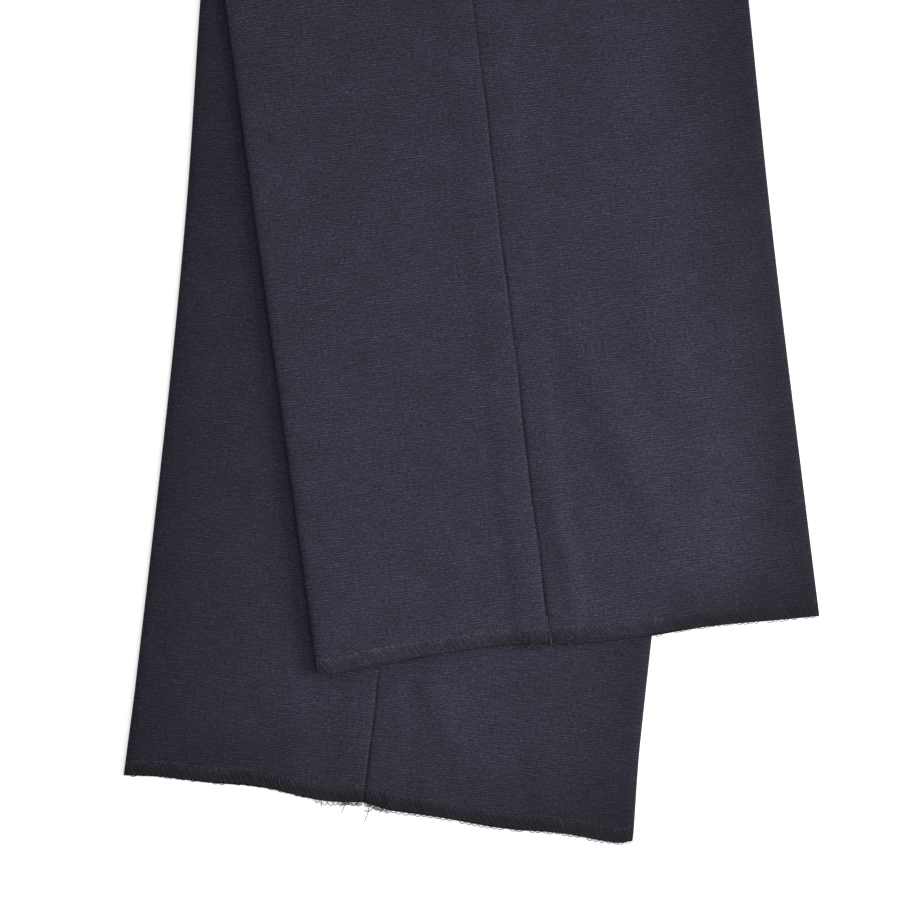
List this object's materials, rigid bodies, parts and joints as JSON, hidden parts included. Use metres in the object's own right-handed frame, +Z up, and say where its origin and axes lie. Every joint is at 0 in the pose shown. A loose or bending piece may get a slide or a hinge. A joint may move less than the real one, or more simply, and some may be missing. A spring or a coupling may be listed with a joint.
{
  "type": "pair of slacks",
  "caption": "Dark navy knit slacks laid side-on, one leg on the other, with pressed creases and raw serged hems.",
  "frame": {"origin": "on the surface that the slacks lie on, under the middle of the whole pair", "axes": "+Z up from the surface, +Y towards the waist, +X towards the backs of the legs"},
  "size_m": [0.391, 1.1634, 0.0117],
  "materials": {
    "navy_knit": "matt dark navy ribbed double knit",
    "zip_tape": "woven tape, near black",
    "zip_metal": "plain nickel"
  },
  "bodies": {
    "root": {"right_front": "navy_knit", "right_back": "navy_knit", "left_front": "navy_knit", "left_back": "navy_knit", "right_waistband": "navy_knit", "left_waistband": "navy_knit", "zip_tape_left": "zip_tape", "zip_tape_right": "zip_tape", "zip_chain": "zip_metal", "zip_slider": "zip_metal", "zip_pull": "zip_metal", "waist_hook": "zip_metal", "waist_bar": "zip_metal"}
  },
  "joints": []
}
